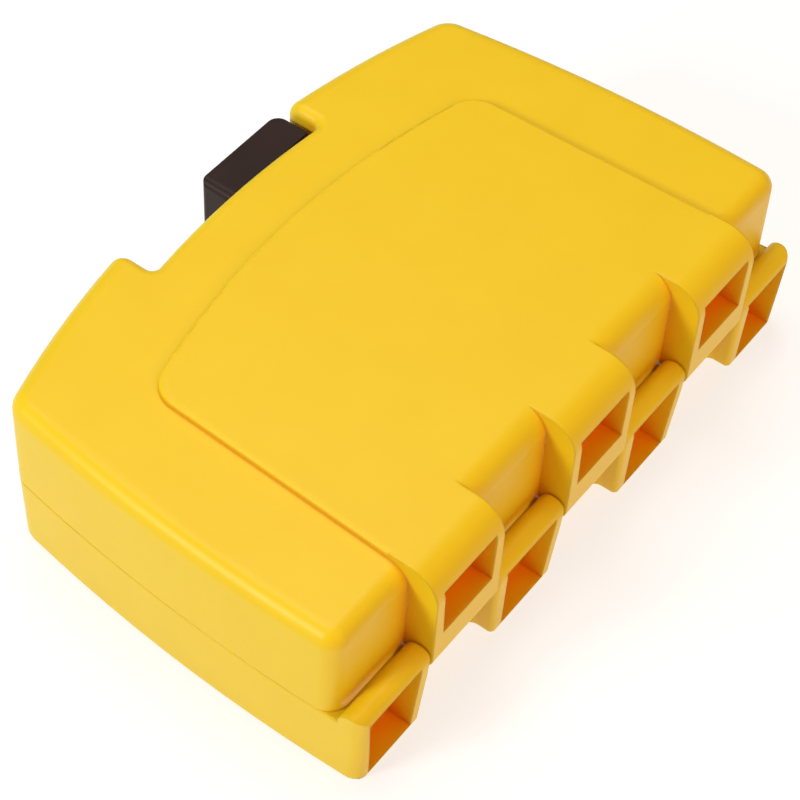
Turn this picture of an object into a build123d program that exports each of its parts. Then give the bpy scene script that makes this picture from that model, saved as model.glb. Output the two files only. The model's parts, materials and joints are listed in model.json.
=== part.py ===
"""Moulded carrying case for screwdriver bits, closed, with its sliding latch in the locked place.

Frame: millimetres, +Z up, origin at the bottom centre. The long axis is X, the latch side is -Y
and the hinge side is +Y. Each piece of the case is written to its own STEP file in parts/.
"""
import math
import os

from build123d import *

# Outer form of the two shells
case_length = 200.6          # widest place of the end walls, at the parting line
case_depth = 133.0           # latch face to the outer faces of the hinge knuckles
parting_z = 23.8             # the base's rim, where the lid sits
shoulder_z = 54.4            # flat top of the lid beside the raised panel
panel_rise = 2.2             # height of the raised panel above the shoulders
end_bow_radius = 531.0       # plan radius of the two end walls
widest_y = 33.6              # where the end walls are furthest apart
front_bow_radius = 293.0     # plan radius of the latch side
front_bow_rise = 1.2         # how far that bow would stand past the latch face, without its notch
front_corner_radius = 8.5
lid_rear_corner_radius = 6.0
base_rear_corner_radius = 4.5
base_draft = 0.3             # the base's walls lean in by this much at the floor
lid_draft = 0.35             # the lid's walls lean in by this much at the top
lid_edge_radius = 5.0        # round edge between the lid's walls and its top
wall = 2.4
floor = 2.4
cavity_edge_radius = 3.5

# Raised panel on the lid
panel_rear_half = 72.0
panel_front_half = 68.9      # half width where the front corners begin
panel_corner_y = -26.0
panel_front_radius = 249.0
panel_front_y = -35.4
panel_corner_radius = 9.5
panel_edge_radius = 1.1
panel_rear_radius = 4.0      # the panel rolls down into the rear wall between the knuckles

# Hinge: seven hollow knuckles, four on the base and three on the lid
knuckle_radius = 4.0
hinge_z = 24.5
barrel_gap = 0.8             # from a knuckle's barrel to the other shell's rear wall
inner_knuckle_half = 14.0    # half width of the lid's middle knuckle
base_knuckle_width = 30.0
lid_knuckle_width = 28.0
knuckle_side_gap = 0.4
knuckle_wall = 3.9
end_pocket_wall = 3.6        # beside the outermost hollows
knuckle_floor = 1.2
base_knuckle_draft = 1.2     # the base's knuckle faces lean in by this much at the floor
knuckle_side_draft = 1.6     # and its knuckle sides by this much
knuckle_root_radius = 3.0    # where the base's knuckles meet its rear wall
base_knuckle_edge_radius = 1.5    # of the upright edges beside the hinge gaps
hood_radius = 9.2            # the lid's knuckles roll up into the raised panel
lid_knuckle_wall = 3.0       # at the top of a lid pocket
lid_pocket_draft = 0.6       # a lid pocket is narrower by this at the foot of each side
pocket_wall_behind = 0.7     # left behind a pocket, over the shell's own wall
base_pocket_top = 25.7
lid_pocket_bottom = 33.1
lid_pocket_top = 50.2
stub_radius = 1.7
stub_clearance = 0.05
stub_length = 1.3            # how far a stub enters its socket
socket_spare = 0.4
lid_open_angle = 140.0

# Notch for the latch in both shells
notch_half = 35.2
notch_depth = 12.85
notch_inner_radius = 2.0     # where the notch's floor meets its side walls
notch_centre = 1.1
notch_edge_radius = 3.2      # of the notch's side walls, along their outer and top edges

# Sliding latch and its rails
latch_width = 33.0
latch_top = 50.4
latch_bottom = 4.0
latch_skin = 2.2
latch_centre = -15.5
latch_corner_radius = 2.0
latch_far_corner_radius = 3.5
latch_end_radius = 2.6       # round top edge at the end that points to the free half
rail_clearance = 0.4
rail_reach = 4.4             # how far a rail's web stands out of the notch wall
rail_thickness = 2.0
base_rail_z = 13.0
base_rail_lip = 3.5          # the T rail's head, above and below its web
lid_rail_z = 42.0
lid_rail_lip = 3.2
grip_grooves = 5
grip_pitch = 3.6
grip_depth = 0.7
grip_width = 1.4

# Swinging racks for the short bits
rack_wall_gap = 9.3          # from the rear wall's inside to the rear rack's axis
rack_pitch = 33.0            # from one rack's axis to the next
rack_pivot_z = 12.6
rack_depth = 12.0            # along the bits
rack_height = 10.0
rack_round = 2.2
bit_pitch = 15.0
bits_per_rack = 11
rack_end_margin = 6.0
trunnion_radius = 2.0
trunnion_clearance = 0.05
trunnion_length = 3.0
ear_thickness = 3.4
ear_gap = 0.4
ear_width = 9.0
rack_swing = 85.0

# Bits
hex_across = 6.35
hex_clearance = 0.1
bit_chamfer = 0.5
short_bit_length = 25.0
bit_seat_depth = 9.0
tip_length = 7.0
power_bit_length = 50.0
driver_shank_length = 25.0
shank_groove_height = 9.5
shank_groove_width = 2.4
shank_groove_radius = 2.9
power_neck_radius = 2.3
power_collar_length = 4.0

# Tips: end radius, root radius, blade and whether there are ribs between the blades
cross_tips = {
    "ph1": (0.9, 2.4, 0.9, False), "ph2": (1.25, 3.0, 1.2, False), "ph3": (1.8, 3.15, 1.5, False),
    "pz1": (1.0, 2.5, 1.0, True), "pz2": (1.4, 3.0, 1.3, True), "pz3": (1.9, 3.15, 1.6, True)}
star_tips = {"t10": 1.4, "t15": 1.65, "t20": 1.95, "t25": 2.25, "t27": 2.5, "t30": 2.8}
hexagonal_tips = {"h4": 4.0, "h5": 5.0}
square_tips = {"sq2": 2.85}
slotted_tips = {"s5": (5.5, 0.9), "s6": (6.3, 1.2)}

rib_reach = 1.9              # width of the ribs' square, in blades

# Which seats of each rack hold a size
rear_rack_bits = {
    "ph1": (0,), "ph2": (1, 2, 3, 4), "ph3": (5,), "pz1": (6,), "pz2": (7, 8, 9), "pz3": (10,)}
middle_rack_bits = {
    "t10": (0,), "t15": (1,), "t20": (2,), "t25": (3,), "t27": (4,), "t30": (5,), "h4": (6,), "h5": (7,),
    "sq2": (8,), "s5": (9,), "s6": (10,)}

# Fixed rack for the long bits, on the base's floor
cradle_plate = 1.6
cradle_rows = 3
cradle_wall_gap = 6.9        # from the notch's wall to the fixed rack
cradle_bit_gap = 0.7         # from the short bits' tips to the fixed rack
cradle_columns_x = (-54.0, 0.0, 54.0)
cradle_axis_height = 7.2     # of a long bit above the floor
cradle_rib = 3.0
cradle_grip_offsets = (5.0, 19.0)
grip_rise = 2.4              # how far a grip's arms reach past the axis that they hold
grip_mouth = 5.8             # narrower than the shank across its corners

# Which column and row of the cradles hold a long bit
power_bit_places = {
    "ph2": ((0, 0), (1, 0), (2, 0)), "pz2": ((0, 1), (1, 1), (2, 1)), "t20": ((0, 2),), "t25": ((1, 2),),
    "t30": ((2, 2),)}

# Clip bar in the lid, with the holder and the nut drivers
clip_plate = 1.8
clip_axis_drop = 9.5         # of a driver below the lid's inner top
clip_rib = 3.2
clip_bar_half = 14.0
clip_rib_x = (-11.0, 3.0)
clip_pitch = 24.0
clip_half = 6.3              # half length of a rib along Y
nut_driver_length = 48.0
nut_bore_depth = 11.0
nut_drivers = (("nut_driver_6mm", 6.0, 5.0), ("nut_driver_8mm", 8.0, 6.0), ("nut_driver_10mm", 10.0, 7.0))
head_chamfer = 0.6
holder_length = 60.0
holder_radius = 4.6
holder_bore_depth = 14.0
magnet_radius = 2.6
magnet_length = 3.0
seat_clearance = 0.05
sleeve_length = 26.0
sleeve_front_gap = 2.0
sleeve_wall = 1.2
sleeve_chamfer = 0.4
sleeve_grooves = 3
sleeve_groove_pitch = 2.4
sleeve_groove_width = 1.0
sleeve_groove_depth = 0.4

# Places worked out from the sizes above
panel_z = shoulder_z + panel_rise
rear_y = case_depth / 2
latch_face_y = -case_depth / 2
hinge_y = rear_y - knuckle_radius
rear_wall_y = hinge_y - knuckle_radius - barrel_gap
front_apex_y = latch_face_y - front_bow_rise
front_bow_centre_y = front_apex_y + front_bow_radius
notch_wall_y = front_apex_y + notch_depth
pocket_back_y = rear_wall_y + pocket_wall_behind
cavity_top = shoulder_z - wall
lid_knuckle_edges = (
    (-inner_knuckle_half, inner_knuckle_half),
    (inner_knuckle_half + base_knuckle_width, inner_knuckle_half + base_knuckle_width + lid_knuckle_width),
    (-inner_knuckle_half - base_knuckle_width - lid_knuckle_width, -inner_knuckle_half - base_knuckle_width),
)
outermost_lid_edge = lid_knuckle_edges[1][1]
rack_half = bit_pitch * (bits_per_rack - 1) / 2 + rack_end_margin
driver_axis_z = cavity_top - clip_axis_drop
rear_rack_y = rear_wall_y - wall - rack_wall_gap
rack_rows_y = (rear_rack_y, rear_rack_y - rack_pitch)
short_bit_reach = short_bit_length - bit_seat_depth + rack_depth / 2
cradle_high_y = rack_rows_y[-1] - short_bit_reach - cradle_bit_gap
cradle_low_y = notch_wall_y + wall + cradle_wall_gap
cradle_pitch = (cradle_high_y - cradle_low_y) / cradle_rows
cradle_rows_y = [cradle_high_y - (row + 0.5) * cradle_pitch for row in range(cradle_rows)]
clip_rows_y = [(row - 1.5) * clip_pitch for row in range(4)]
latch_travel = 2 * (notch_centre - latch_centre)
on_plane = 0.3               # how near an edge's middle lies to a plane that it belongs to
clear_of_all = case_length   # a cutting tool this large passes through the whole case


def box_between(low, high):
    """A box from its lowest to its highest corner."""
    size = [b - a for a, b in zip(low, high)]
    middle = [(a + b) / 2 for a, b in zip(low, high)]
    return Pos(*middle) * Box(*size)


def along_x(profile, start, end):
    """A profile drawn in Y and Z, carried along X from start to end."""
    return Pos(start, 0, 0) * extrude(Plane.YZ * profile, end - start)


def rod_x(radius, start, end, y, z):
    """A round rod along X."""
    return Pos((start + end) / 2, y, z) * Rot(0, 90, 0) * Cylinder(radius, abs(end - start))


def plan_face(inset, back_y, front_radius, back_radius):
    """The case's plan: three large circles trim a rectangle, and its corners are rounded."""
    end_x = case_length / 2 - end_bow_radius
    plan = Pos(0, back_y - clear_of_all / 2) * Rectangle(2 * clear_of_all, clear_of_all)
    plan &= Pos(end_x, widest_y) * Circle(end_bow_radius - inset)
    plan &= Pos(-end_x, widest_y) * Circle(end_bow_radius - inset)
    plan &= Pos(0, front_bow_centre_y) * Circle(front_bow_radius - inset)
    corners = plan.vertices().sort_by(Axis.Y)
    plan = fillet(corners[:2], front_radius - inset)
    if back_radius > 0:
        corners = plan.vertices().sort_by(Axis.Y)
        plan = fillet(corners[-2:], back_radius - inset)
    return plan


def drafted(plan, from_z, to_z, draft):
    """A body that starts from a plan at one height and is narrower by the draft at the other."""
    height = to_z - from_z
    return extrude(Pos(0, 0, from_z) * plan, height, taper=math.degrees(math.atan(draft / abs(height))))


def between_plans(low_plan, low_z, high_plan, high_z):
    """A drafted body between two plans."""
    return loft([Pos(0, 0, low_z) * low_plan, Pos(0, 0, high_z) * high_plan], ruled=True)


def notch_face(grow):
    """Plan of the latch notch, or of the wall around it when it is grown by the wall."""
    cut = Pos(notch_centre, front_apex_y) * Rectangle(
        2 * (notch_half + grow), 2 * (notch_depth + notch_edge_radius + grow))
    cut -= Pos(0, front_bow_centre_y) * Circle(front_bow_radius - notch_depth - grow)
    return fillet(cut.vertices().sort_by(Axis.Y)[-2:], notch_inner_radius)


def cut_notch(shell, low_z, high_z, rounded_z):
    """Cuts the notch through a shell and rounds the side walls' outer edges and those above a height."""
    shell -= Pos(0, 0, low_z) * extrude(notch_face(0), high_z - low_z)
    edges = [
        edge for edge in shell.edges()
        if abs(abs(edge.center().X - notch_centre) - notch_half) < on_plane
        and edge.center().Y < notch_wall_y - on_plane
        and (edge.bounding_box().size.Z > notch_edge_radius or edge.center().Z > rounded_z)
    ]
    return fillet(edges, notch_edge_radius)


def rear_line_y(z):
    """Outer face of the lid's rear wall at a height, with its draft."""
    return rear_wall_y - lid_draft * (z - parting_z) / (shoulder_z - parting_z)


def rounded_top_profile(outer_low, outer_high, low_z, front_y, radius):
    """A Y-Z profile up to the panel's height whose outer top corner is rounded."""
    profile = make_face(Polyline(
        (front_y, low_z), (outer_low, low_z), (outer_high, panel_z), (front_y, panel_z), close=True))
    corner = [v for v in profile.vertices() if abs(v.X - outer_high) < 0.01 and abs(v.Y - panel_z) < 0.01]
    return fillet(corner, radius)


def raised_panel():
    """The panel with its rounded edge, rolled down at the rear."""
    slope = (panel_rear_half - panel_front_half) / (rear_wall_y - panel_corner_y)
    end_y = panel_front_y - panel_corner_radius
    end_half = panel_front_half - slope * (panel_corner_y - end_y)
    outline = make_face(Polyline(
        (-panel_rear_half, rear_y), (-panel_rear_half, rear_wall_y), (-end_half, end_y),
        (end_half, end_y), (panel_rear_half, rear_wall_y), (panel_rear_half, rear_y), close=True))
    outline &= Pos(0, panel_front_y + panel_front_radius) * Circle(panel_front_radius)
    outline = fillet(outline.vertices().sort_by(Axis.Y)[:2], panel_corner_radius)
    low_z = panel_z - panel_rear_radius - panel_rise
    roll = rounded_top_profile(
        rear_line_y(low_z), rear_line_y(panel_z), low_z, -clear_of_all / 2, panel_rear_radius)
    slab = along_x(roll, -clear_of_all / 2, clear_of_all / 2)
    slab &= Pos(0, 0, low_z) * extrude(outline, panel_z - low_z + 1)
    rim = [
        edge for edge in slab.edges()
        if edge.bounding_box().min.Z > panel_z - 0.01
        and not (abs(edge.center().X) < 1 and edge.center().Y > 0)
    ]
    return fillet(rim, panel_edge_radius)


def lid_knuckle(start, end):
    """One of the lid's knuckles: hood, barrel and the two stubs that it turns on."""
    low, high = start + knuckle_side_gap / 2, end - knuckle_side_gap / 2
    hood = rounded_top_profile(rear_y, rear_y, hinge_z, rear_wall_y - panel_rear_radius - wall, hood_radius)
    block = along_x(hood + Pos(hinge_y, hinge_z) * Circle(knuckle_radius), low, high)
    reach = knuckle_side_gap + stub_length
    block += rod_x(stub_radius, low - reach, high + reach, hinge_y, hinge_z)
    return block


def lid_pocket(start, end):
    """The hollow of one of the lid's knuckles, narrower at its foot."""
    inset = knuckle_side_gap / 2 + lid_knuckle_wall
    width = end - start - 2 * inset
    depth = rear_y + 1 - pocket_back_y
    place = Pos((start + end) / 2, (pocket_back_y + rear_y + 1) / 2)
    foot = Pos(0, 0, lid_pocket_bottom) * place * Rectangle(width - 2 * lid_pocket_draft, depth)
    top = Pos(0, 0, lid_pocket_top) * place * Rectangle(width, depth)
    return loft([foot, top], ruled=True)


def lid_shell():
    """The lid: drafted walls, round edges, raised panel, knuckles, notch, cavity and catch rail."""
    plan = plan_face(0, rear_wall_y, front_corner_radius, lid_rear_corner_radius)
    shell = drafted(plan, parting_z, shoulder_z, lid_draft)
    top_edges = shell.faces().sort_by(Axis.Z)[-1].edges()
    shell = fillet(top_edges, lid_edge_radius)
    shell += raised_panel()
    for start, end in lid_knuckle_edges:
        shell += lid_knuckle(start, end)
    shell = cut_notch(shell, parting_z - 1, panel_z + 1, shoulder_z - lid_edge_radius)
    plan = plan_face(wall, rear_wall_y - wall, front_corner_radius, lid_rear_corner_radius)
    cavity = drafted(plan, parting_z - 1, cavity_top, lid_draft)
    cavity = fillet(cavity.faces().sort_by(Axis.Z)[-1].edges(), cavity_edge_radius)
    cavity -= Pos(0, 0, parting_z - 2) * extrude(notch_face(wall), panel_z - parting_z)
    shell -= cavity
    for start, end in lid_knuckle_edges:
        shell -= lid_pocket(start, end)
    return shell + lid_rail()


def lid_rail():
    """The rail that the locked latch holds: a web with an upward lip, under the latch only."""
    web_y = notch_wall_y - rail_reach
    half = rail_thickness / 2
    start = latch_centre - latch_width / 2 + latch_skin
    end = latch_centre + latch_width / 2 - latch_skin - rail_clearance
    web = box_between((start, web_y, lid_rail_z - half), (end, notch_wall_y + wall, lid_rail_z + half))
    lip = box_between(
        (start, web_y - rail_thickness, lid_rail_z - half), (end, web_y, lid_rail_z + half + lid_rail_lip))
    return web + lip


def base_shell():
    """The base: drafted tray, four hollow knuckles, notch, T rail and the ears for the racks."""
    roll_top = hinge_z + knuckle_radius
    grow = roll_top / hinge_z
    shell = between_plans(
        plan_face(base_draft, rear_y - base_knuckle_draft, front_corner_radius, base_rear_corner_radius), 0,
        plan_face(base_draft * (1 - grow), rear_y - base_knuckle_draft * (1 - grow), front_corner_radius,
                  base_rear_corner_radius), roll_top)
    for start, end in lid_knuckle_edges:
        shell -= hinge_gap(start, end)
    shell = fillet(base_knuckle_edges(shell), base_knuckle_edge_radius)
    above = Pos(0, (parting_z + clear_of_all) / 2) * Rectangle(2 * clear_of_all, clear_of_all - parting_z)
    above -= Pos(hinge_y, hinge_z) * Circle(knuckle_radius)
    above -= Pos(hinge_y + knuckle_radius, (parting_z + hinge_z) / 2) * Rectangle(
        2 * knuckle_radius, hinge_z - parting_z)
    shell -= along_x(above, -clear_of_all, clear_of_all)
    shell = cut_notch(shell, -1, parting_z + 1, parting_z)
    low_wall = wall + base_draft
    cavity = between_plans(
        plan_face(low_wall, rear_wall_y - low_wall, front_corner_radius, lid_rear_corner_radius), floor,
        plan_face(wall, rear_wall_y - wall, front_corner_radius, lid_rear_corner_radius), parting_z)
    cavity = fillet(cavity.faces().sort_by(Axis.Z)[0].edges(), cavity_edge_radius)
    cavity -= extrude(notch_face(wall), parting_z + 1)
    shell -= cavity
    for start, end in base_pocket_edges():
        shell -= base_pocket(start, end)
    for start, end in lid_knuckle_edges:
        shell -= rod_x(
            stub_radius + stub_clearance, start - stub_length - socket_spare,
            end + stub_length + socket_spare, hinge_y, hinge_z)
    shell += base_rail()
    for row_y in rack_rows_y:
        shell += rack_ear(row_y, 1) + rack_ear(row_y, -1)
    return shell


def base_knuckle_edges(shell):
    """The upright outer edges of the base's knuckles beside the hinge gaps."""
    return [
        edge for edge in shell.edges()
        if edge.bounding_box().size.Z > hinge_z / 2 and edge.center().Y > rear_y - knuckle_radius
        and abs(edge.center().X) < outermost_lid_edge + knuckle_radius
    ]


def hinge_gap(start, end):
    """The space that a lid knuckle turns in, drafted and rounded at its roots below the barrel."""
    low_x, high_x = start - knuckle_side_gap / 2, end + knuckle_side_gap / 2
    upper_z = hinge_z - knuckle_radius - knuckle_side_gap
    upper = box_between((low_x, rear_wall_y, upper_z), (high_x, rear_y + 1, hinge_z + 2 * knuckle_radius))
    sections = []
    for z, spread in ((upper_z, 0), (0, knuckle_side_draft)):
        section = Pos((low_x + high_x) / 2, (rear_wall_y + rear_y + 5) / 2) * Rectangle(
            high_x - low_x + 2 * spread, rear_y + 5 - rear_wall_y)
        roots = section.vertices().sort_by(Axis.Y)[:2]
        sections.append(Pos(0, 0, z) * fillet(roots, knuckle_root_radius))
    return upper + loft(sections, ruled=True)


def base_pocket_edges():
    """Left and right ends of the base knuckles' hollows at their tops."""
    side = knuckle_side_gap / 2 + knuckle_wall
    first = inner_knuckle_half + side
    second = inner_knuckle_half + base_knuckle_width - side
    outer_start = outermost_lid_edge + side
    outer_end = case_length / 2 - end_pocket_wall
    edges = [(first, second), (outer_start, outer_end)]
    return edges + [(-end, -start) for start, end in edges]


def base_pocket(start, end):
    """The hollow of one of the base's knuckles, narrower at its floor."""
    sections = []
    for z, draft in ((knuckle_floor, knuckle_side_draft), (base_pocket_top, 0)):
        width = end - start - 2 * draft
        section = Pos((start + end) / 2, (pocket_back_y + rear_y + 2) / 2) * Rectangle(
            width, rear_y + 2 - pocket_back_y)
        sections.append(Pos(0, 0, z) * section)
    return loft(sections, ruled=True)


def base_rail():
    """The T rail that the latch slides on, right across the notch."""
    web_y = notch_wall_y - rail_reach
    half = rail_thickness / 2
    reach = notch_half + wall / 2
    start, end = notch_centre - reach, notch_centre + reach
    web = box_between((start, web_y, base_rail_z - half), (end, notch_wall_y + wall, base_rail_z + half))
    head = box_between(
        (start, web_y - rail_thickness, base_rail_z - half - base_rail_lip),
        (end, web_y, base_rail_z + half + base_rail_lip))
    return web + head


def rack_ear(row_y, side):
    """A moulded post with the bearing for one end of a rack."""
    inner_x = side * (rack_half + ear_gap)
    outer_x = side * (rack_half + ear_gap + ear_thickness)
    low_x, high_x = min(inner_x, outer_x), max(inner_x, outer_x)
    post = box_between((low_x, row_y - ear_width / 2, floor - 0.5), (high_x, row_y + ear_width / 2, rack_pivot_z))
    post += rod_x(ear_width / 2, low_x, high_x, row_y, rack_pivot_z)
    return post - rod_x(trunnion_radius + trunnion_clearance, low_x - 1, high_x + 1, row_y, rack_pivot_z)


def slide_latch():
    """The latch: a skin with lips behind both rails, closed at the end that the photo shows."""
    low_x, high_x = latch_centre - latch_width / 2, latch_centre + latch_width / 2
    inner_y = notch_wall_y - rail_clearance
    lip_y = inner_y - (rail_reach - 2 * rail_clearance)
    height = latch_top - latch_bottom
    front = Pos(latch_centre, (latch_top + latch_bottom) / 2) * Rectangle(latch_width, height)
    front = fillet(front.vertices().sort_by(Axis.Y)[-2:].sort_by(Axis.X)[-1], latch_end_radius)
    plan = Pos(latch_centre, (latch_face_y + inner_y) / 2) * Rectangle(latch_width, inner_y - latch_face_y)
    corners = plan.vertices().sort_by(Axis.Y)[:2].sort_by(Axis.X)
    plan = fillet(corners[1], latch_corner_radius)
    plan = fillet(plan.vertices().sort_by(Axis.Y)[:2].sort_by(Axis.X)[0], latch_far_corner_radius)
    solid = Pos(0, clear_of_all, 0) * extrude(Plane.XZ * front, 2 * clear_of_all)
    solid &= extrude(plan, clear_of_all)
    back_of_skin = latch_face_y + latch_skin
    half = rail_thickness / 2
    shelf_z = base_rail_z + half + base_rail_lip + rail_clearance
    lid_web_top = lid_rail_z + half + rail_clearance
    base_slot = box_between(
        (low_x - 1, back_of_skin, base_rail_z - half - base_rail_lip - rail_clearance),
        (high_x + 1, lip_y, shelf_z))
    base_throat = box_between(
        (low_x - 1, lip_y - 1, base_rail_z - half - rail_clearance),
        (high_x + 1, inner_y + 1, base_rail_z + half + rail_clearance))
    end_wall_x = high_x - latch_skin
    lid_hollow = box_between(
        (low_x - 1, back_of_skin, shelf_z + latch_skin), (end_wall_x, lip_y, latch_top - latch_skin))
    lid_throat = box_between(
        (low_x - 1, lip_y - 1, shelf_z + latch_skin), (end_wall_x, inner_y + 1, lid_web_top))
    solid -= base_slot + base_throat
    solid -= lid_hollow + lid_throat
    for index in range(grip_grooves):
        x = latch_centre + (index - (grip_grooves - 1) / 2) * grip_pitch
        solid -= Pos(x, latch_face_y, (latch_top + latch_bottom) / 2) * Box(
            grip_width, 2 * grip_depth, (latch_top - latch_bottom) * 0.6)
    return solid


def bit_rack(row_y):
    """A swinging rack: a rounded bar with hexagonal sockets and a trunnion at each end."""
    section = Pos(row_y, rack_pivot_z) * RectangleRounded(rack_depth, rack_height, rack_round)
    bar = along_x(section, -rack_half, rack_half)
    reach = ear_gap + trunnion_length
    bar += rod_x(trunnion_radius, -rack_half - reach, rack_half + reach, row_y, rack_pivot_z)
    mouth_y = row_y - rack_depth / 2
    centre = (bits_per_rack - 1) / 2
    for seat in range(bits_per_rack):
        socket = extrude(hexagon(hex_across + 2 * hex_clearance), bit_seat_depth + 1)
        bar -= Pos((seat - centre) * bit_pitch, mouth_y - 1, rack_pivot_z) * Rot(-90, 0, 0) * socket
    return bar


def hexagon(across_flats):
    """A hexagon with two flats square to its local Y axis."""
    return RegularPolygon(across_flats / 2, 6, major_radius=False)


def hexagonal_bar(across_flats, length, chamfer):
    """A hexagonal bar standing on the XY plane, narrowed at both ends."""
    small = hexagon(across_flats - 2 * chamfer)
    full = hexagon(across_flats)
    bar = loft([small, Pos(0, 0, chamfer) * full], ruled=True)
    bar += Pos(0, 0, chamfer) * extrude(full, length - 2 * chamfer)
    bar += loft([Pos(0, 0, length - chamfer) * full, Pos(0, 0, length) * small], ruled=True)
    return bar


def ring_of_points(pattern, repeats):
    """A closed outline whose pattern of angle and radius pairs is repeated round the centre."""
    points = []
    for turn in range(repeats):
        for angle, radius in pattern:
            direction = math.radians(360 * turn / repeats + angle)
            points.append((radius * math.cos(direction), radius * math.sin(direction)))
    return make_face(Polyline(*points, close=True))


def cross_outline(radius, blade, ribbed):
    """Outline of a cross tip at one height, with small ribs between the blades if it has them."""
    outline = Rectangle(2 * radius, blade) + Rectangle(blade, 2 * radius)
    if ribbed:
        outline += Rot(0, 0, 45) * Rectangle(rib_reach * blade, rib_reach * blade)
    return outline


def star_outline(radius):
    """Outline of a star tip: six blunt lobes."""
    return ring_of_points([(-9, radius), (9, radius), (30, radius * 0.74)], 6)


def tip_sections(name):
    """Outlines of a bit's working end at its root, at its shoulder and at its end."""
    if name in cross_tips:
        end_radius, root_radius, blade, ribbed = cross_tips[name]
        middle_radius = (root_radius + end_radius) / 2
        return [
            cross_outline(root_radius, blade, ribbed), cross_outline(middle_radius, blade * 0.9, ribbed),
            cross_outline(end_radius, blade * 0.6, ribbed)]
    if name in star_tips:
        return [star_outline(star_tips[name] * 1.06), star_outline(star_tips[name]), star_outline(star_tips[name])]
    if name in hexagonal_tips:
        return [hexagon(hexagonal_tips[name])] * 3
    if name in square_tips:
        side = square_tips[name]
        return [Rectangle(side * 1.1, side * 1.1), Rectangle(side, side), Rectangle(side, side)]
    width, thickness = slotted_tips[name]
    return [
        Rectangle(width, hex_across * 0.6), Rectangle(width, hex_across * 0.36), Rectangle(width, thickness)]


def tip(name):
    """The working end that belongs to a bit's size, standing on the XY plane."""
    root, shoulder, end = tip_sections(name)
    lower = loft([root, Pos(0, 0, tip_length / 2) * shoulder], ruled=True)
    upper = loft([Pos(0, 0, tip_length / 2) * shoulder, Pos(0, 0, tip_length) * end], ruled=True)
    return lower + upper


def short_bit(name):
    """A short bit standing on the XY plane: hexagonal shank and tip."""
    shank_length = short_bit_length - tip_length
    return hexagonal_bar(hex_across, shank_length, bit_chamfer) + Pos(0, 0, shank_length) * tip(name)


def driver_shank():
    """A long hexagonal shank with the groove that a chuck's ball holds."""
    groove = Pos(0, 0, shank_groove_height) * (
        Cylinder(hex_across, shank_groove_width) - Cylinder(shank_groove_radius, shank_groove_width))
    return hexagonal_bar(hex_across, driver_shank_length, bit_chamfer) - groove


def power_bit(name):
    """A long bit: shank, slim neck, collar and tip."""
    neck_top = power_bit_length - tip_length
    neck_low = driver_shank_length - bit_chamfer
    neck = Pos(0, 0, (neck_top + neck_low) / 2) * Cylinder(power_neck_radius, neck_top - neck_low)
    collar = Pos(0, 0, neck_top - power_collar_length) * hexagonal_bar(
        hex_across, power_collar_length, bit_chamfer)
    return driver_shank() + neck + collar + Pos(0, 0, neck_top) * tip(name)


def nut_driver(across_flats, radius):
    """A nut driver: shank and a round head with a hexagonal bore."""
    head_length = nut_driver_length - driver_shank_length + bit_chamfer
    head = Pos(0, 0, nut_driver_length - head_length / 2) * Cylinder(radius, head_length)
    head = chamfer(head.edges(), head_chamfer)
    bore = Pos(0, 0, nut_driver_length - nut_bore_depth) * extrude(hexagon(across_flats), nut_bore_depth + 1)
    return driver_shank() + head - bore


def holder_core():
    """The bit holder's shank and body, with a hexagonal bore and the magnet's seat."""
    body_length = holder_length - driver_shank_length + bit_chamfer
    body = Pos(0, 0, holder_length - body_length / 2) * Cylinder(holder_radius, body_length)
    body = chamfer(body.edges(), head_chamfer)
    bore_low = holder_length - holder_bore_depth
    bore = Pos(0, 0, bore_low) * extrude(hexagon(hex_across + 2 * hex_clearance), holder_bore_depth + 1)
    seat = Pos(0, 0, bore_low - magnet_length / 2) * Cylinder(magnet_radius + seat_clearance, magnet_length)
    return driver_shank() + body - bore - seat


def holder_magnet():
    """The magnet at the bottom of the holder's bore."""
    return Pos(0, 0, holder_length - holder_bore_depth - magnet_length / 2) * Cylinder(
        magnet_radius, magnet_length)


def holder_sleeve():
    """The holder's grip sleeve, with grooves for the fingers."""
    centre = holder_length - sleeve_front_gap - sleeve_length / 2
    outer_radius = holder_radius + seat_clearance + sleeve_wall
    sleeve = Cylinder(outer_radius, sleeve_length)
    sleeve = chamfer(sleeve.edges(), sleeve_chamfer)
    sleeve -= Cylinder(holder_radius + seat_clearance, sleeve_length + 2)
    for index in range(sleeve_grooves):
        height = (index - (sleeve_grooves - 1) / 2) * sleeve_groove_pitch
        sleeve -= Pos(0, 0, height) * (
            Cylinder(outer_radius + 1, sleeve_groove_width)
            - Cylinder(outer_radius - sleeve_groove_depth, sleeve_groove_width))
    return Pos(0, 0, centre) * sleeve


def seat_in_rack(name, row_y, seats):
    """Copies of one short bit in their seats, pointing to the latch side."""
    seat_y = row_y - rack_depth / 2 + bit_seat_depth
    bit = Rot(90, 0, 0) * short_bit(name)
    centre = (bits_per_rack - 1) / 2
    return Compound([Pos((seat - centre) * bit_pitch, seat_y, rack_pivot_z) * bit for seat in seats])


def lay_along_x(piece, x, y, z):
    """Lays a piece that stands on the XY plane along X, with its lower end at x."""
    return Pos(x, y, z) * Rot(0, 90, 0) * Rot(0, 0, 90) * piece


def power_bits(name, places):
    """Copies of one long bit in the cradles."""
    z = floor + cradle_axis_height
    bit = power_bit(name)
    return Compound([
        lay_along_x(bit, cradle_columns_x[column] - power_bit_length / 2, cradle_rows_y[row], z)
        for column, row in places])


def shank_grip(y, z, start, end, opens_up):
    """The tool that cuts a snap-in seat for a hexagonal shank along X."""
    seat = hex_across / 2 + hex_clearance
    mouth_height = 2 * seat
    direction = 1 if opens_up else -1
    profile = Pos(y, z) * hexagon(2 * seat)
    profile += Pos(y, z + direction * mouth_height / 2) * Rectangle(grip_mouth, mouth_height)
    return along_x(profile, start, end)


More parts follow.
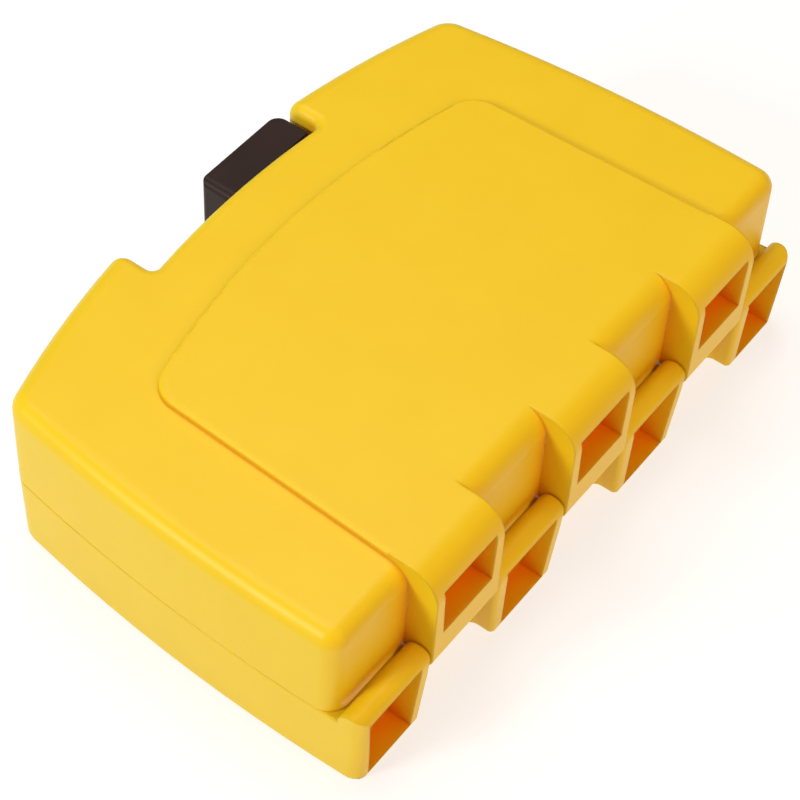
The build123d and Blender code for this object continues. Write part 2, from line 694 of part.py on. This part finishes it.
def power_bit_rack():
    """The fixed rack: a plate and ribs with open cradles for the long bits."""
    half_x = cradle_columns_x[-1] + power_bit_length / 2
    low_y, high_y = cradle_low_y, cradle_high_y
    rack = box_between((-half_x, low_y, floor), (half_x, high_y, floor + cradle_plate))
    axis_z = floor + cradle_axis_height
    rib_top = axis_z + grip_rise
    for column in cradle_columns_x:
        for offset in cradle_grip_offsets:
            x = column - power_bit_length / 2 + offset
            rack += box_between((x - cradle_rib / 2, low_y, floor), (x + cradle_rib / 2, high_y, rib_top))
    for y in cradle_rows_y:
        rack -= shank_grip(y, axis_z, -half_x - 1, half_x + 1, True)
    return rack


def lid_clip_bar():
    """The bar in the lid: a plate with ribs that grip the holder and the nut drivers."""
    low_y, high_y = clip_rows_y[0] - clip_half, clip_rows_y[-1] + clip_half
    bar = box_between((-clip_bar_half, low_y, cavity_top - clip_plate), (clip_bar_half, high_y, cavity_top))
    for x in clip_rib_x:
        for y in clip_rows_y:
            bar += box_between(
                (x - clip_rib / 2, y - clip_half, driver_axis_z - grip_rise),
                (x + clip_rib / 2, y + clip_half, cavity_top - clip_plate))
    for y in clip_rows_y:
        bar -= shank_grip(y, driver_axis_z, -clip_bar_half - 1, clip_bar_half + 1, False)
    return bar


def driver_in_lid(piece, row):
    """Lays a driver's piece in one of the clip bar's rows."""
    return lay_along_x(piece, clip_rib_x[0] - clip_rib, clip_rows_y[row], driver_axis_z)


def export(shape, node):
    """Writes one node's STEP file."""
    shape.label = node
    export_step(shape, f"parts/{node}.step")


def build():
    """Builds and writes every node."""
    os.makedirs("parts", exist_ok=True)
    export(base_shell(), "base_shell")
    export(lid_shell(), "lid_shell")
    export(slide_latch(), "slide_latch")
    export(bit_rack(rack_rows_y[0]), "bit_rack_rear")
    export(bit_rack(rack_rows_y[1]), "bit_rack_middle")
    for name, seats in rear_rack_bits.items():
        export(seat_in_rack(name, rack_rows_y[0], seats), f"bit_{name}")
    for name, seats in middle_rack_bits.items():
        export(seat_in_rack(name, rack_rows_y[1], seats), f"bit_{name}")
    export(power_bit_rack(), "power_bit_rack")
    for name, places in power_bit_places.items():
        export(power_bits(name, places), f"power_bit_{name}")
    export(lid_clip_bar(), "lid_clip_bar")
    export(driver_in_lid(holder_core(), 0), "holder_core")
    export(driver_in_lid(holder_magnet(), 0), "holder_magnet")
    export(driver_in_lid(holder_sleeve(), 0), "holder_sleeve")
    for row, (name, across_flats, radius) in enumerate(nut_drivers, start=1):
        export(driver_in_lid(nut_driver(across_flats, radius), row), name)


build()
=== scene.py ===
"""Looks of the moulded bit case: its shells, latch, racks and bits, on a pale floor in soft light."""
import json
import logging
import math
from dataclasses import dataclass, field
from enum import IntEnum

import bmesh
import bpy
import numpy as np
from mathutils import Matrix, Vector


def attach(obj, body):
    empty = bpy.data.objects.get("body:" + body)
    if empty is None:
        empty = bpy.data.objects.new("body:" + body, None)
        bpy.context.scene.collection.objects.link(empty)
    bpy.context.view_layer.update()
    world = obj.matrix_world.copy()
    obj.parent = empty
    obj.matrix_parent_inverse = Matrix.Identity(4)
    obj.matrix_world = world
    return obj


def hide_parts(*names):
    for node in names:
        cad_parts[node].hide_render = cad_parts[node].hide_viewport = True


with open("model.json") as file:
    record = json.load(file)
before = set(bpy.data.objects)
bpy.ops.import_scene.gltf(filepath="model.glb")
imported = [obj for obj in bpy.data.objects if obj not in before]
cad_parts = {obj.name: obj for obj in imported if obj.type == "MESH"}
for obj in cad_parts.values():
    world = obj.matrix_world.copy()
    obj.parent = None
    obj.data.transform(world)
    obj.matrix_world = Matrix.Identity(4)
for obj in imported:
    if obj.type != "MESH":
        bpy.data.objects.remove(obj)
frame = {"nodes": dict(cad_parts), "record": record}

MM = 0.001
SIDE_RAYS = 6
LOG = logging.getLogger("bit_case")
Rgba = tuple[float, float, float, float]
Driver = bpy.types.NodeSocket | Rgba | float
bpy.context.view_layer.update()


def srgb(red: float, green: float, blue: float) -> Rgba:
    """Turns a colour on the usual 0 to 255 scale into linear light.

    Args:
        red: Red on the 0 to 255 scale.
        green: Green on the 0 to 255 scale.
        blue: Blue on the 0 to 255 scale.

    Returns:
        The linear colour with full alpha.
    """
    def linear(value: float) -> float:
        """Undoes the display curve of one channel."""
        part = value / 255.0
        return part / 12.92 if part <= 0.04045 else ((part + 0.055) / 1.055) ** 2.4
    return (linear(red), linear(green), linear(blue), 1.0)


# ---- Finishes -------------------------------------------------------------------------------


class NodeTree:
    """A thin helper that adds and links the nodes of one material."""

    def __init__(self, name: str) -> None:
        """Makes an empty material with a Principled shader.

        Args:
            name: The material's name.
        """
        self.material = bpy.data.materials.new(name)
        self.material.use_nodes = True
        self.tree = self.material.node_tree
        self.shader = self.tree.nodes["Principled BSDF"]
        self.coordinates = self.tree.nodes.new("ShaderNodeTexCoord").outputs["Object"]

    def add(self, kind: str, inputs: dict[str | int, Driver] | None = None,
            **settings: str | bool | int) -> bpy.types.Node:
        """Adds a node.

        Args:
            kind: The node's type without its ShaderNode prefix.
            inputs: Values or output sockets by input name or index.
            **settings: Properties of the node itself.

        Returns:
            The new node.
        """
        node = self.tree.nodes.new("ShaderNode" + kind)
        for key, value in settings.items():
            setattr(node, key, value)
        for key, value in (inputs or {}).items():
            if isinstance(value, bpy.types.NodeSocket):
                self.tree.links.new(value, node.inputs[key])
            else:
                node.inputs[key].default_value = value
        return node

    def noise(self, scale: float, detail: float = 2.0, stretch: tuple[float, float, float] | None = None,
              roughness: float = 0.5) -> bpy.types.NodeSocket:
        """A noise pattern on the piece's own coordinates.

        Args:
            scale: Grains per metre.
            detail: Octaves of the noise.
            stretch: Factors along X, Y and Z for a drawn-out grain.
            roughness: Weight of the finer octaves.

        Returns:
            The socket with values round 0.5.
        """
        place = self.coordinates
        if stretch:
            place = self.add("Mapping", {"Vector": place, "Scale": stretch}).outputs[0]
        return self.add("TexNoise", {
            "Vector": place, "Scale": scale, "Detail": detail, "Roughness": roughness}).outputs["Fac"]

    def ramp(self, value: bpy.types.NodeSocket, low: float, high: float,
             start: Rgba, end: Rgba) -> bpy.types.NodeSocket:
        """Maps a value onto a blend of two colours.

        Args:
            value: The driving socket.
            low: The value that gives the first colour.
            high: The value that gives the second colour.
            start: The first colour.
            end: The second colour.

        Returns:
            The colour socket.
        """
        node = self.add("ValToRGB", {"Fac": value})
        node.color_ramp.elements[0].position, node.color_ramp.elements[0].color = low, start
        node.color_ramp.elements[1].position, node.color_ramp.elements[1].color = high, end
        return node.outputs["Color"]

    def spread(self, value: bpy.types.NodeSocket, low: float, high: float) -> bpy.types.NodeSocket:
        """Maps 0 to 1 onto a range of numbers.

        Args:
            value: The driving socket.
            low: The number at 0.
            high: The number at 1.

        Returns:
            The mapped socket.
        """
        return self.add("MapRange", {"Value": value, "To Min": low, "To Max": high}).outputs["Result"]

    def openness(self, distance: float, low: float, high: float) -> bpy.types.NodeSocket:
        """Tells open surfaces from hollows by how much of the piece stands round a point.

        Args:
            distance: How far the piece is looked for, in metres.
            low: The openness that counts as a hollow.
            high: The openness that counts as fully open.

        Returns:
            A socket from 0 in a hollow to 1 in the open.
        """
        node = self.add("AmbientOcclusion", {"Distance": distance}, only_local=True, samples=SIDE_RAYS)
        return self.add("MapRange", {
            "Value": node.outputs["AO"], "From Min": low, "From Max": high},
            interpolation_type="SMOOTHSTEP").outputs["Result"]

    def rounded(self, radius: float) -> bpy.types.NodeSocket:
        """Gives the normal of the surface as if its edges had a radius.

        Args:
            radius: The radius of the edges, in metres.

        Returns:
            The normal socket.
        """
        return self.add("Bevel", {"Radius": radius}, samples=SIDE_RAYS).outputs["Normal"]

    def blend(self, first: Driver, second: Driver, factor: bpy.types.NodeSocket) -> bpy.types.NodeSocket:
        """Blends two colours.

        Args:
            first: The colour at 0, a socket or a value.
            second: The colour at 1, a socket or a value.
            factor: The driving socket.

        Returns:
            The blended colour.
        """
        return self.add("Mix", {0: factor, 6: first, 7: second}, data_type="RGBA").outputs[2]

    def bump(self, height: bpy.types.NodeSocket, distance: float, strength: float = 1.0,
             under: bpy.types.NodeSocket | None = None) -> bpy.types.NodeSocket:
        """Adds relief.

        Args:
            height: The height pattern, 0 to 1.
            distance: How tall the relief is, in metres.
            strength: How strongly the relief turns the light.
            under: A coarser relief that this one lies on.

        Returns:
            The normal socket.
        """
        inputs = {"Height": height, "Distance": distance, "Strength": strength}
        if under:
            inputs["Normal"] = under
        return self.add("Bump", inputs).outputs["Normal"]

    def dress(self, colour: Driver, roughness: Driver, normal: bpy.types.NodeSocket | None = None,
              **fixed: Rgba | float) -> bpy.types.Material:
        """Connects the shader and sets its constant sockets.

        Args:
            colour: Base colour, a socket or a value.
            roughness: Roughness, a socket or a value.
            normal: The relief's normal, if there is one.
            **fixed: Constant values by socket name, with underscores for spaces.

        Returns:
            The finished material.
        """
        values = {"Base Color": colour, "Roughness": roughness}
        if normal:
            values["Normal"] = normal
        for name, value in fixed.items():
            values[name.replace("_", " ")] = value
        for name, value in values.items():
            if isinstance(value, bpy.types.NodeSocket):
                self.tree.links.new(value, self.shader.inputs[name])
            else:
                self.shader.inputs[name].default_value = value
        return self.material


@dataclass(frozen=True)
class MouldedPlastic:
    """A spark-eroded moulded plastic: even colour, fine grain, a satin sheen and, where a hollow colour is
    given, painted shade that turns its hollows darker and more orange.

    The relief and the reach of the painted shade in hollows are in metres, the edges' radius in
    millimetres, and patterns in grains per metre.
    """

    name: str
    colour: Rgba
    shade: Rgba
    roughness: float
    grain: float = 2600.0
    relief: float = 0.000012
    flow: float = 60.0
    specular: float = 0.5
    hollow_painted_shade: Rgba | None = None
    soft_radius: float = 0.8
    drift_span: tuple[float, float] = (0.3, 0.7)
    painted_shade_reach: float = 0.018
    painted_shade_span: tuple[float, float] = (0.26, 0.74)
    gloss_drop: float = 0.05
    gloss_rise: float = 0.06
    gloss_flow: float = 6.0
    wave_flow: float = 2.2
    wave_relief: float = 9.0
    wave_strength: float = 0.25
    grain_strength: float = 0.9
    grain_weight: float = 0.6

    def material(self) -> bpy.types.Material:
        """Builds the material: colour drift, painted shade that makes hollows darker and more orange,
        rounded edges, fine grain and uneven gloss.
        """
        nodes = NodeTree(self.name)
        colour = nodes.ramp(nodes.noise(self.flow, 3.0), *self.drift_span, self.shade, self.colour)
        # Painted shade: where the piece closes round a point, the colour is blended towards a darker orange
        # hollow colour.
        if self.hollow_painted_shade:
            colour = nodes.blend(self.hollow_painted_shade, colour, nodes.openness(self.painted_shade_reach, *self.painted_shade_span))
        gloss = nodes.spread(nodes.noise(self.flow * self.gloss_flow, 4.0),
                             self.roughness - self.gloss_drop, self.roughness + self.gloss_rise)
        waves = nodes.bump(nodes.noise(self.flow * self.wave_flow, 1.0), self.relief * self.wave_relief,
                           self.wave_strength, nodes.rounded(self.soft_radius * MM))
        normal = nodes.bump(nodes.noise(self.grain, roughness=self.grain_weight), self.relief,
                            self.grain_strength, waves)
        return nodes.dress(colour, gloss, normal, Specular_IOR_Level=self.specular)


@dataclass(frozen=True)
class ToolSteel:
    """Blasted or turned steel with a faint lay along one axis."""

    name: str
    colour: Rgba
    dark: Rgba
    roughness: float
    lay: tuple[float, float, float] = (1.0, 1.0, 1.0)
    relief: float = 0.000008
    cloud: float = 420.0
    cloud_span: tuple[float, float] = (0.32, 0.72)
    wear: float = 900.0
    wear_drop: float = 0.09
    wear_rise: float = 0.1
    grain: float = 3200.0
    grain_strength: float = 0.8

    def material(self) -> bpy.types.Material:
        """Builds the material: cloudy tone, worn gloss and fine lay."""
        nodes = NodeTree(self.name)
        colour = nodes.ramp(nodes.noise(self.cloud, 4.0), *self.cloud_span, self.dark, self.colour)
        gloss = nodes.spread(nodes.noise(self.wear, 3.0),
                             self.roughness - self.wear_drop, self.roughness + self.wear_rise)
        normal = nodes.bump(nodes.noise(self.grain, stretch=self.lay), self.relief, self.grain_strength)
        return nodes.dress(colour, gloss, normal, Metallic=1.0)


# The shells' hollow colour is painted shade, a darker orange laid into pockets, creases and seams.
SHELL_YELLOW = MouldedPlastic(
    "shell_yellow", (0.804, 0.560, 0.012, 1.0), (0.789, 0.543, 0.010, 1.0), 0.38,
    specular=0.25, hollow_painted_shade=(0.82, 0.235, 0.0, 1.0), soft_radius=1.0)
LATCH_BLACK = MouldedPlastic(
    "latch_black", srgb(48, 34, 31), srgb(42, 29, 26), 0.40,
    relief=0.000018, specular=0.14, soft_radius=0.5)
RACK_BLACK = MouldedPlastic("rack_black", srgb(40, 40, 42), srgb(33, 33, 35), 0.46)
BIT_STEEL = ToolSteel("bit_steel", (0.50, 0.49, 0.47, 1.0), (0.36, 0.355, 0.35, 1.0), 0.36)
DRIVER_STEEL = ToolSteel("driver_steel", (0.22, 0.22, 0.225, 1.0), (0.14, 0.14, 0.145, 1.0), 0.34)
SLEEVE_STEEL = ToolSteel(
    "sleeve_steel", (0.78, 0.78, 0.79, 1.0), (0.66, 0.66, 0.67, 1.0), 0.16, lay=(0.15, 1.0, 1.0))
MAGNET = ToolSteel("magnet", (0.62, 0.61, 0.58, 1.0), (0.5, 0.49, 0.47, 1.0), 0.2)


# ---- Mesh work ------------------------------------------------------------------------------


def new_object(name: str, mesh: bpy.types.Mesh) -> bpy.types.Object:
    """Links a new object that holds a mesh.

    Args:
        name: The object's name.
        mesh: Its mesh, in metres in the shared frame.

    Returns:
        The object.
    """
    piece = bpy.data.objects.new(name, mesh)
    bpy.context.scene.collection.objects.link(piece)
    return piece


def paint(piece: bpy.types.Object, material: bpy.types.Material) -> None:
    """Gives a piece one material.

    Args:
        piece: The object to paint.
        material: The material for all its faces.
    """
    piece.data.materials.clear()
    piece.data.materials.append(material)


class Axis(IntEnum):
    """The axes of the shared frame."""

    X = 0
    Y = 1
    Z = 2


@dataclass(frozen=True)
class EdgePlane:
    """Sharp edges that lie in one plane and get a radius of their own, in millimetres."""

    axis: Axis
    place: float
    radius: float
    reach: float = 0.03
    segments: int = 4

    def holds(self, edge: bmesh.types.BMEdge) -> bool:
        """Tells whether both ends of an edge lie in the plane.

        Args:
            edge: The edge to test.

        Returns:
            True where this plane's radius applies.
        """
        return all(abs(vertex.co[self.axis] / MM - self.place) <= self.reach for vertex in edge.verts)


@dataclass(frozen=True)
class RearRoll:
    """The round edge over the lid's rear wall, drawn wider than in the solid, in millimetres.

    A point counts as on the small arc within arc_slack of it, and as on the wall within wall_slack.
    """

    wall_y: float = 57.35
    top_z: float = 56.6
    solid_radius: float = 4.0
    radius: float = 7.0
    lowest_z: float = 49.2
    half_length: float = 72.3
    start_slack: float = 0.02
    arc_slack: float = 0.06
    wall_slack: float = 0.25
    closing: float = 0.05

    def reshape(self, work: bmesh.types.BMesh) -> None:
        """Carries the roll's points outwards from the small arc onto the large one.

        A point at an angle on the small arc goes to the same angle on the large arc. The points under the
        small arc close up below the large one, so the wall keeps its order from top to foot.

        Args:
            work: The lid's mesh, in metres.
        """
        verts = [vertex for vertex in work.verts if abs(vertex.co.x) < self.half_length * MM]
        points = np.array([vertex.co[:] for vertex in verts]) / MM
        y, z = points[:, 1], points[:, 2]
        arc_y, arc_z = y - self.wall_y + self.solid_radius, z - self.top_z + self.solid_radius
        on_arc = np.abs(np.hypot(arc_y, arc_z) - self.solid_radius) < self.arc_slack
        on_arc &= (arc_y > -self.start_slack) & (arc_z > -self.start_slack)
        under = (np.abs(y - self.wall_y) < self.wall_slack) & (arc_z < 0) & (z > self.lowest_z)
        growth = self.radius / self.solid_radius
        y = np.where(on_arc, self.wall_y - self.radius + arc_y * growth, np.where(under, self.wall_y, y))
        foot = self.top_z - self.radius
        z = np.where(on_arc, foot + arc_z * growth, np.where(under, foot + arc_z * self.closing, z))
        for vertex, new_y, new_z in zip(verts, y * MM, z * MM):
            vertex.co.y, vertex.co.z = new_y, new_z
        LOG.info("rear roll: %d points on the arc, %d under it", on_arc.sum(), under.sum())


@dataclass
class MouldedNode:
    """A moulded part whose CAD node is copied, merged and given soft edges.

    Lengths are in millimetres and angles in degrees.
    """

    node: str
    body: str
    slot: str
    edge_radius: float = 0.3
    segments: int = 3
    sharp_angle: float = 24.0
    flat_angle: float = 0.3
    merge_reach: float = 0.002
    flat_weight: int = 80
    planes: tuple[EdgePlane, ...] = ()
    roll: RearRoll | None = None
    joins_flats: bool = True

    def round_planes(self, work: bmesh.types.BMesh) -> None:
        """Rounds the sharp edges of each named plane with its own radius.

        Args:
            work: The mesh to round, in metres.
        """
        for plane in self.planes:
            chosen = [
                edge for edge in work.edges
                if len(edge.link_faces) == 2 and plane.holds(edge)
                and edge.calc_face_angle(0.0) > math.radians(self.sharp_angle)]
            if chosen:
                bmesh.ops.bevel(
                    work, geom=chosen, offset=plane.radius * MM, offset_type="OFFSET",
                    segments=plane.segments, profile=0.5, affect="EDGES", clamp_overlap=False,
                    loop_slide=True, material=-1)
            LOG.info("%s: %d edges rounded at %.1f mm", self.node, len(chosen), plane.place)

    def build(self, material: bpy.types.Material) -> bpy.types.Object:
        """Copies the node and finishes the copy.

        Args:
            material: The material of the finished copy.

        Returns:
            The visible piece that stands for the node.
        """
        mesh = frame["nodes"][self.node].data.copy()
        mesh.name = self.node + "_skin"
        work = bmesh.new()
        work.from_mesh(mesh)
        bmesh.ops.remove_doubles(work, verts=work.verts, dist=self.merge_reach * MM)
        if self.roll:
            self.roll.reshape(work)
        if self.joins_flats:
            bmesh.ops.dissolve_limit(
                work, angle_limit=math.radians(self.flat_angle), verts=work.verts, edges=work.edges,
                delimit=set())
        self.round_planes(work)
        work.to_mesh(mesh)
        work.free()
        mesh.shade_smooth()
        piece = new_object(self.node + "_skin", mesh)
        paint(piece, material)
        bevel = piece.modifiers.new("soft_edges", "BEVEL")
        bevel.width = self.edge_radius * MM
        bevel.segments = self.segments
        bevel.limit_method = "ANGLE"
        bevel.angle_limit = math.radians(self.sharp_angle)
        bevel.use_clamp_overlap = True
        bevel.harden_normals = False
        bevel.miter_outer = "MITER_ARC"
        weighted = piece.modifiers.new("even_shading", "WEIGHTED_NORMAL")
        weighted.keep_sharp = True
        weighted.weight = self.flat_weight
        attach(piece, self.body)
        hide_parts(self.node)
        LOG.info("%s: %d faces before its soft edges", piece.name, len(mesh.polygons))
        return piece


# ---- Sub-assemblies -------------------------------------------------------------------------


@dataclass
class CaseShells:
    """The base and the lid."""

    edge_radius: float = 0.3
    parting_z: float = 23.8
    seam_radius: float = 0.55
    foot_radius: float = 0.8

    def seam(self) -> EdgePlane:
        """Gives the edges where lid and base meet."""
        return EdgePlane(Axis.Z, self.parting_z, self.seam_radius)

    def build(self) -> None:
        """Dresses both shells in the same yellow plastic."""
        yellow = SHELL_YELLOW.material()
        foot = EdgePlane(Axis.Z, 0.0, self.foot_radius)
        MouldedNode("base_shell", "base", "case_plastic", self.edge_radius,
                    planes=(self.seam(), foot)).build(yellow)
        MouldedNode("lid_shell", "lid", "case_plastic", self.edge_radius,
                    planes=(self.seam(),), roll=RearRoll()).build(yellow)


@dataclass
class SlidingLatch:
    """The latch that slides along the notch."""

    edge_radius: float = 0.4

    def build(self) -> None:
        """Dresses the latch in black plastic."""
        MouldedNode("slide_latch", "latch", "latch_plastic", self.edge_radius,
                    joins_flats=False).build(LATCH_BLACK.material())


@dataclass
class Interior:
    """Racks, bits and drivers inside the case, with the finish of each record slot."""

    looks: dict[str, MouldedPlastic | ToolSteel] = field(default_factory=lambda: {
        "rack_plastic": RACK_BLACK,
        "bit_steel": BIT_STEEL,
        "driver_steel": DRIVER_STEEL,
        "sleeve_steel": SLEEVE_STEEL,
        "magnet": MAGNET,
    })

    def build(self) -> None:
        """Gives each inner node the finish of its record slot."""
        finishes = {slot: look.material() for slot, look in self.looks.items()}
        for part in frame["record"]["subparts"]:
            if part["material_slot"] in finishes:
                paint(frame["nodes"][part["node"]], finishes[part["material_slot"]])
                LOG.info("%s: painted as %s", part["node"], part["material_slot"])


# ---- Studio ---------------------------------------------------------------------------------


@dataclass(frozen=True)
class PhotoCamera:
    """The camera of the photograph, as found by fitting known edges of the case."""

    eye_mm: tuple[float, float, float] = (340.76, 233.13, 513.70)
    forward: tuple[float, float, float] = (-0.52308, -0.35295, -0.77576)
    upward: tuple[float, float, float] = (-0.60420, -0.48839, 0.62961)
    focal_pixels: float = 2359.9
    frame_pixels: float = 800.0
    sensor_mm: float = 36.0
    near_clip: float = 0.01

    def place(self) -> None:
        """Adds the camera and makes it the scene's own."""
        lens = bpy.data.cameras.new("photo_camera")
        lens.sensor_width = self.sensor_mm
        lens.lens = self.focal_pixels * self.sensor_mm / self.frame_pixels
        lens.clip_start = self.near_clip
        camera = bpy.data.objects.new("photo_camera", lens)
        ahead = Vector(self.forward).normalized()
        side = ahead.cross(Vector(self.upward)).normalized()
        top = side.cross(ahead)
        turn = Matrix((side, top, -ahead)).transposed().to_4x4()
        camera.matrix_world = Matrix.Translation(Vector(self.eye_mm) * MM) @ turn
        bpy.context.scene.collection.objects.link(camera)
        bpy.context.scene.camera = camera


@dataclass(frozen=True)
class SoftBox:
    """A square area light that looks at the case, with lengths in metres and power in watts."""

    name: str
    place: tuple[float, float, float]
    size: float
    power: float
    tint: tuple[float, float, float] = (1.0, 1.0, 1.0)
    aim: tuple[float, float, float] = (0.0, 0.0, 0.02)

    def add(self) -> None:
        """Adds the light, turned towards its aim."""
        lamp = bpy.data.lights.new(self.name, "AREA")
        lamp.shape = "SQUARE"
        lamp.size = self.size
        lamp.energy = self.power
        lamp.color = self.tint
        light = bpy.data.objects.new(self.name, lamp)
        light.location = self.place
        light.rotation_euler = (Vector(self.aim) - Vector(self.place)).to_track_quat("-Z", "Y").to_euler()
        bpy.context.scene.collection.objects.link(light)


@dataclass
class Studio:
    """Pale floor, soft boxes and an even sky, with lengths in metres."""

    white: Rgba = (1.0, 1.0, 1.0, 1.0)
    sky_level: float = 0.2
    floor_half: float = 3.0
    floor_points: int = 5
    floor_tone: Rgba = (0.34, 0.34, 0.34, 1.0)
    floor_roughness: float = 0.75
    floor_specular: float = 0.2
    floor_glow: float = 0.70
    boxes: tuple[SoftBox, ...] = field(default_factory=lambda: (
        SoftBox("key_box", (1.02, -0.42, 0.68), 0.3, 8.0),
        SoftBox("top_box", (-0.2, -0.35, 1.4), 0.9, 11.2),
        SoftBox("warm_box", (0.15, 0.95, 0.80), 0.8, 6.5, (1.0, 0.50, 0.14)),
    ))

    def floor_mesh(self) -> bpy.types.Mesh:
        """A level sheet at the height of zero, as a grid of two parameters along X and Y."""
        count = self.floor_points
        along = np.linspace(-self.floor_half, self.floor_half, count)
        x, y = np.meshgrid(along, along, indexing="ij")
        points = np.stack([x, y, np.zeros_like(x)], axis=-1).reshape(-1, 3)
        index = np.arange(count * count).reshape(count, count)
        quads = np.stack([index[:-1, :-1], index[1:, :-1], index[1:, 1:], index[:-1, 1:]], axis=-1)
        mesh = bpy.data.meshes.new("studio_floor")
        mesh.from_pydata(points.tolist(), [], quads.reshape(-1, 4).tolist())
        return mesh

    def build(self) -> None:
        """Adds the floor, the lights and the sky."""
        floor = new_object("studio_floor", self.floor_mesh())
        nodes = NodeTree("studio_floor")
        paint(floor, nodes.dress(
            self.floor_tone, self.floor_roughness, Specular_IOR_Level=self.floor_specular,
            Emission_Color=self.white, Emission_Strength=self.floor_glow))
        for box in self.boxes:
            box.add()
        world = bpy.data.worlds.new("even_sky")
        world.use_nodes = True
        sky = world.node_tree.nodes["Background"]
        sky.inputs["Color"].default_value = self.white
        sky.inputs["Strength"].default_value = self.sky_level
        bpy.context.scene.world = world
        bpy.context.scene.view_settings.view_transform = "Standard"
        LOG.info("studio: %d soft boxes", len(self.boxes))


def main() -> None:
    """Builds the dressed case and its studio."""
    logging.basicConfig(level=logging.INFO, format="%(message)s")
    CaseShells().build()
    SlidingLatch().build()
    Interior().build()
    Studio().build()
    PhotoCamera().place()


if __name__ == "__main__":
    main()
